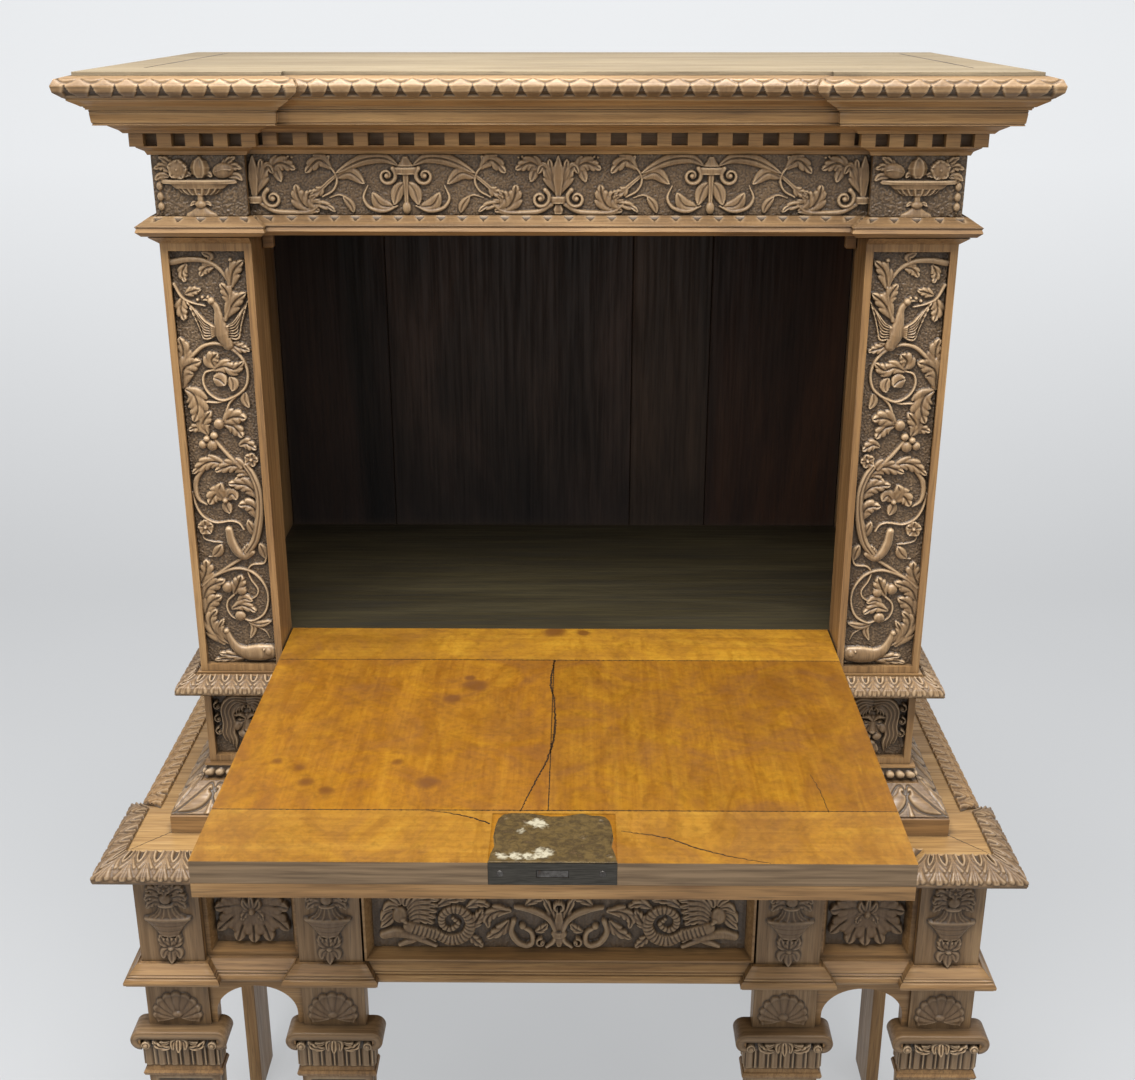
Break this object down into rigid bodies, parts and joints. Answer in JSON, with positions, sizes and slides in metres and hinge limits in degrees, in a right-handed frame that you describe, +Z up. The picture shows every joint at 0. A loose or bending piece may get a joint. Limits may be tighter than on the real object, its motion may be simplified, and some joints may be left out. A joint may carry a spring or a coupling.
{
  "type": "fall-front cabinet on stand",
  "caption": "Carved walnut fall-front cabinet on a legged stand, with a hinged writing flap, a frieze drawer and sliding lock bolts.",
  "frame": {"origin": "on the floor under the middle of the part with its flap let down", "axes": "+X to the right as seen from the front, +Y to the back, +Z up"},
  "size_m": [1.149, 0.948, 1.7083],
  "materials": {
    "carved_walnut": "waxed carved walnut",
    "dark_interior": "dark stained boards",
    "honey_walnut": "worn polish",
    "drawer_wood": "bare planed wood",
    "iron": "dark wrought iron",
    "brass": "worn brass"
  },
  "bodies": {
    "cabinet": {"top_frame": "carved_walnut", "top_panel": "carved_walnut", "cornice_moulding": "carved_walnut", "dentil_course": "carved_walnut", "frieze_rail": "carved_walnut", "frieze_block_left": "carved_walnut", "frieze_block_right": "carved_walnut", "architrave_moulding": "carved_walnut", "pilaster_left": "carved_walnut", "pilaster_right": "carved_walnut", "pedestal_cap_left": "carved_walnut", "pedestal_cap_right": "carved_walnut", "pedestal_left": "carved_walnut", "pedestal_right": "carved_walnut", "pedestal_foot_left": "carved_walnut", "pedestal_foot_right": "carved_walnut", "base_panel": "carved_walnut", "side_panel_left": "carved_walnut", "side_panel_right": "carved_walnut", "back_plank_1": "dark_interior", "back_plank_2": "dark_interior", "back_plank_3": "dark_interior", "back_plank_4": "dark_interior", "interior_floor": "dark_interior", "interior_ceiling": "dark_interior", "flap_stop_left": "carved_walnut", "flap_stop_right": "carved_walnut", "stand_top": "carved_walnut", "front_leg_1": "carved_walnut", "front_leg_2": "carved_walnut", "front_leg_3": "carved_walnut", "front_leg_4": "carved_walnut", "rear_post_left": "carved_walnut", "rear_post_right": "carved_walnut", "arched_apron_left": "carved_walnut", "arched_apron_right": "carved_walnut", "drawer_rail": "carved_walnut", "drawer_runner_left": "dark_interior", "drawer_runner_right": "dark_interior", "stand_side_rail_left": "carved_walnut", "stand_side_rail_right": "carved_walnut", "stand_back_rail": "carved_walnut"},
    "flap": {"flap_rear_rail": "honey_walnut", "flap_front_rail": "honey_walnut", "flap_board_left": "honey_walnut", "flap_board_right": "honey_walnut", "flap_facing": "carved_walnut", "flap_pivot_left": "iron", "flap_pivot_right": "iron", "lock_case": "brass"},
    "flap_bolt": {"lock_bolt": "iron"},
    "drawer": {"drawer_front": "carved_walnut", "drawer_side_left": "drawer_wood", "drawer_side_right": "drawer_wood", "drawer_back": "drawer_wood", "drawer_bottom": "drawer_wood", "drawer_lock_case": "brass"},
    "drawer_bolt": {"drawer_lock_bolt": "iron"}
  },
  "joints": [
    {"name": "flap_hinge", "type": "hinge", "parent": "cabinet", "child": "flap", "pos_m": [0, 0.044, 1.008], "axis": [-1, 0, 0], "range_deg": [0, 90]},
    {"name": "flap_bolt_slide", "type": "slide", "parent": "flap", "child": "flap_bolt", "axis": [0, -1, 0], "range_m": [0, 0.008]},
    {"name": "drawer_slide", "type": "slide", "parent": "cabinet", "child": "drawer", "axis": [0, -1, 0], "range_m": [0, 0.28]},
    {"name": "drawer_bolt_slide", "type": "slide", "parent": "drawer", "child": "drawer_bolt", "axis": [0, 0, 1], "range_m": [0, 0.01]}
  ]
}
